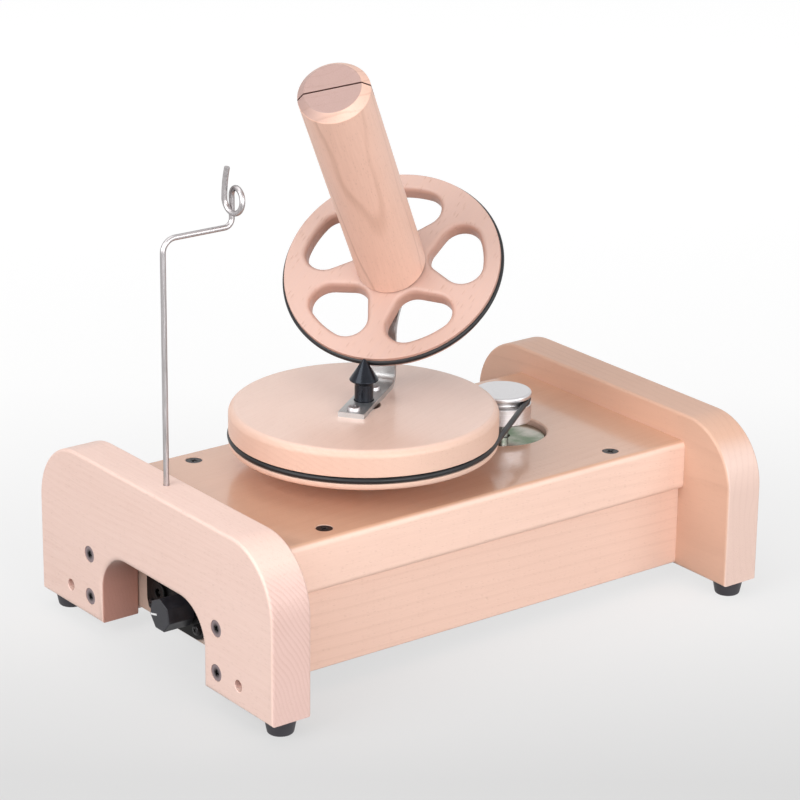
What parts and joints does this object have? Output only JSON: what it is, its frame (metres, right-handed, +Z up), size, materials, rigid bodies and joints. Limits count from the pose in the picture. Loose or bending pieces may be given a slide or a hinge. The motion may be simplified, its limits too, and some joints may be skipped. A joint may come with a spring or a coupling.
{
  "type": "electric yarn ball winder",
  "caption": "Beech electric yarn ball winder: a belt-driven turntable carries a leaning spool whose wheel rolls on a fixed cone, with a wire yarn guide and a speed knob.",
  "frame": {"origin": "on the floor, under the middle of the base", "axes": "+X along the length from the end with the yarn guide and knob to the motor end, +Y to the back, +Z up"},
  "size_m": [0.363, 0.243, 0.3493],
  "materials": {
    "beech": "clear satin lacquer over pale steamed beech",
    "steel": "bright, lightly brushed",
    "black_steel": "black oxide, satin",
    "rubber": "black, satin",
    "black_plastic": "black, satin",
    "zinc": "yellow zinc plating with a faint rainbow sheen",
    "aluminium": "turned, bright",
    "iron": "dull",
    "board": "green solder mask",
    "components": "dull",
    "cable": "black sheath",
    "white": "white fill",
    "brass": "plain"
  },
  "bodies": {
    "base": {"left_end_panel": "beech", "right_end_panel": "beech", "deck_board": "beech", "front_rail": "beech", "rear_rail": "beech", "left_cross_board": "beech", "right_cross_board": "beech", "bottom_cover": "beech", "cover_cleats": "beech", "cover_screws": "steel", "rubber_feet": "rubber", "foot_screws": "steel", "panel_screws": "black_steel", "deck_screws": "black_steel", "control_plate": "black_plastic", "plate_screws": "black_steel", "potentiometer": "steel", "pot_nut": "steel", "power_inlet": "black_plastic", "circuit_board": "board", "board_standoffs": "aluminium", "board_components": "components", "wiring": "cable", "motor_can": "zinc", "motor_end_cap": "black_plastic", "motor_magnets": "iron", "motor_bearings": "steel", "motor_mount_plate": "steel", "mount_plate_screws": "steel", "centre_spindle": "steel", "spindle_washer": "steel", "spindle_nut": "steel", "retaining_ring": "steel", "friction_cone": "black_plastic", "drive_belt": "rubber"},
    "turntable": {"turntable": "beech", "turntable_bearings": "steel", "bearing_spacer": "steel", "axle_bracket": "steel", "bracket_screws": "steel", "bobbin_axle": "steel", "axle_nut": "steel", "axle_washer": "steel", "axle_spacer": "steel", "axle_top_nut": "steel"},
    "bobbin": {"bobbin_wheel": "beech", "spool": "beech", "tyre_ring": "rubber", "bobbin_bearings": "steel"},
    "motor_rotor": {"motor_shaft": "steel", "motor_armature": "iron", "drive_pulley": "aluminium", "pulley_grub_screw": "black_steel"},
    "knob": {"speed_knob": "black_plastic", "knob_pointer": "white", "knob_grub_screw": "brass", "pot_shaft": "steel"},
    "guide": {"yarn_guide": "steel"}
  },
  "joints": [
    {"name": "turntable_spin", "type": "hinge", "parent": "base", "child": "turntable", "pos_m": [-0.03, 0, 0.132], "axis": [0, 0, 1], "continuous": true},
    {"name": "bobbin_spin", "type": "hinge", "parent": "turntable", "child": "bobbin", "pos_m": [0.01319, 0.03115, 0.20291], "axis": [-0.5246, -0.3783, 0.7627], "continuous": true},
    {"name": "motor_spin", "type": "hinge", "parent": "base", "child": "motor_rotor", "pos_m": [0.0765, 0, 0.093], "axis": [0, 0, 1], "continuous": true},
    {"name": "knob_turn", "type": "hinge", "parent": "base", "child": "knob", "pos_m": [-0.165, 0, 0.033], "axis": [1, 0, 0], "range_deg": [-47, 253]},
    {"name": "guide_swivel", "type": "hinge", "parent": "base", "child": "guide", "pos_m": [-0.1665, 0.005, 0.11], "axis": [0, 0, 1], "range_deg": [-180, 180]}
  ],
  "couplings": [
    {"joint": "motor_spin", "follows": "turntable_spin", "ratio": 5.0962},
    {"joint": "bobbin_spin", "follows": "turntable_spin", "ratio": 0.055965}
  ]
}
